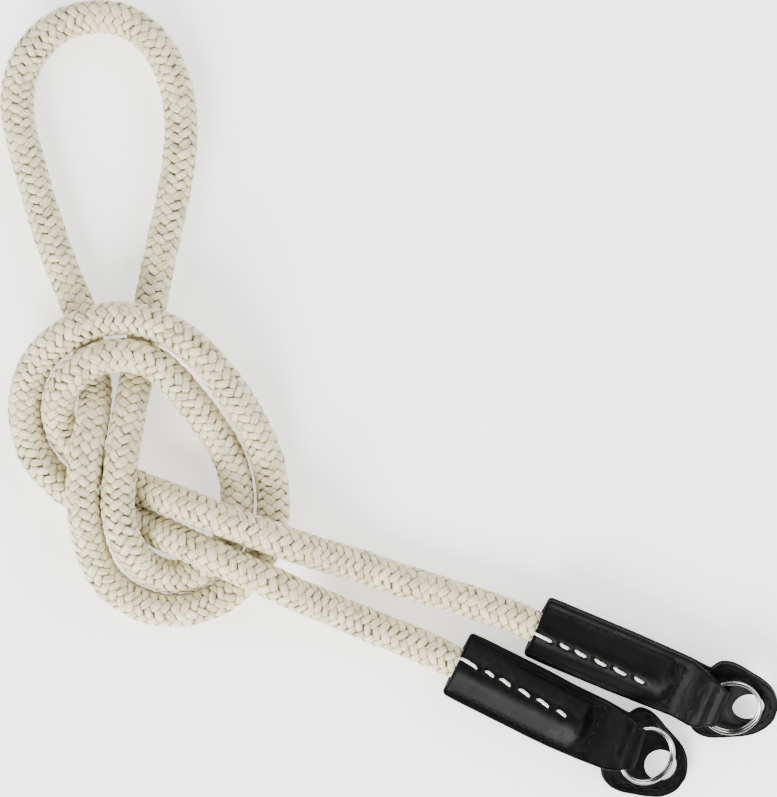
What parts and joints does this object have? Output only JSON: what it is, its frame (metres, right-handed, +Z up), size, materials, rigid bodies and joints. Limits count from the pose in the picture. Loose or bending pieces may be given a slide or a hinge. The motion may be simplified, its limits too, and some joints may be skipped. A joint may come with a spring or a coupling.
{
  "type": "camera strap",
  "caption": "Round braided silk camera strap, doubled and tied in a loose overhand knot, with leather sleeves, guards and split rings at its ends.",
  "frame": {"origin": "on the table the strap lies on, under the middle of the box round its two leather ends", "axes": "+Z up from the table; +X runs along the two leather ends towards their rings, across the picture from left to right; +Y up the picture, towards the loop"},
  "size_m": [0.21, 0.2149, 0.0186],
  "materials": {
    "silk": "braided silk, soft sheen",
    "leather": "smooth black, semi-gloss",
    "ring": "bright nickel plate"
  },
  "bodies": {
    "root": {"silk_cord": "silk", "sleeve_back_a": "leather", "sleeve_top_a": "leather", "guard_facing_a": "leather", "split_ring_a": "ring", "sleeve_back_b": "leather", "sleeve_top_b": "leather", "guard_facing_b": "leather", "split_ring_b": "ring"}
  },
  "joints": []
}
